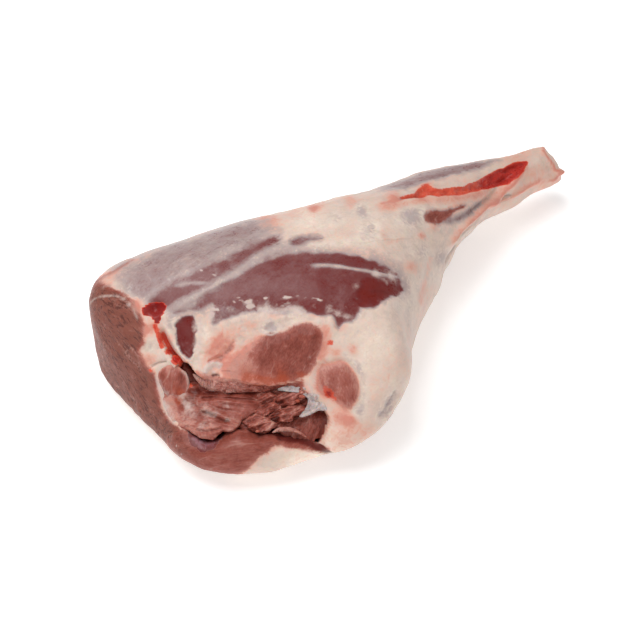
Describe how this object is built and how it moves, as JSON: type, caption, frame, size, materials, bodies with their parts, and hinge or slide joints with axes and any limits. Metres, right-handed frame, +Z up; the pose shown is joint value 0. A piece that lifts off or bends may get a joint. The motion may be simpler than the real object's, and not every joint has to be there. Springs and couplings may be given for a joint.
{
  "type": "raw leg of lamb",
  "caption": "Raw bone-in leg of lamb lying on its outer side: broad sawn rump end with open muscles and clefts, fat-covered thigh, tapering to the shank.",
  "frame": {"origin": "on the surface the leg lies on, under the middle of its box", "axes": "+Z up; +X along the leg from the rump end to the shank; +Y to the far side of the thigh; the open muscles look to -X, -Y and up"},
  "size_m": [0.3826, 0.2092, 0.0974],
  "materials": {
    "lamb": "raw lamb: moist satin muscle, cream fat and grey silverskin; rubber stands in for soft flesh"
  },
  "bodies": {
    "root": {"leg": "lamb"}
  },
  "joints": []
}
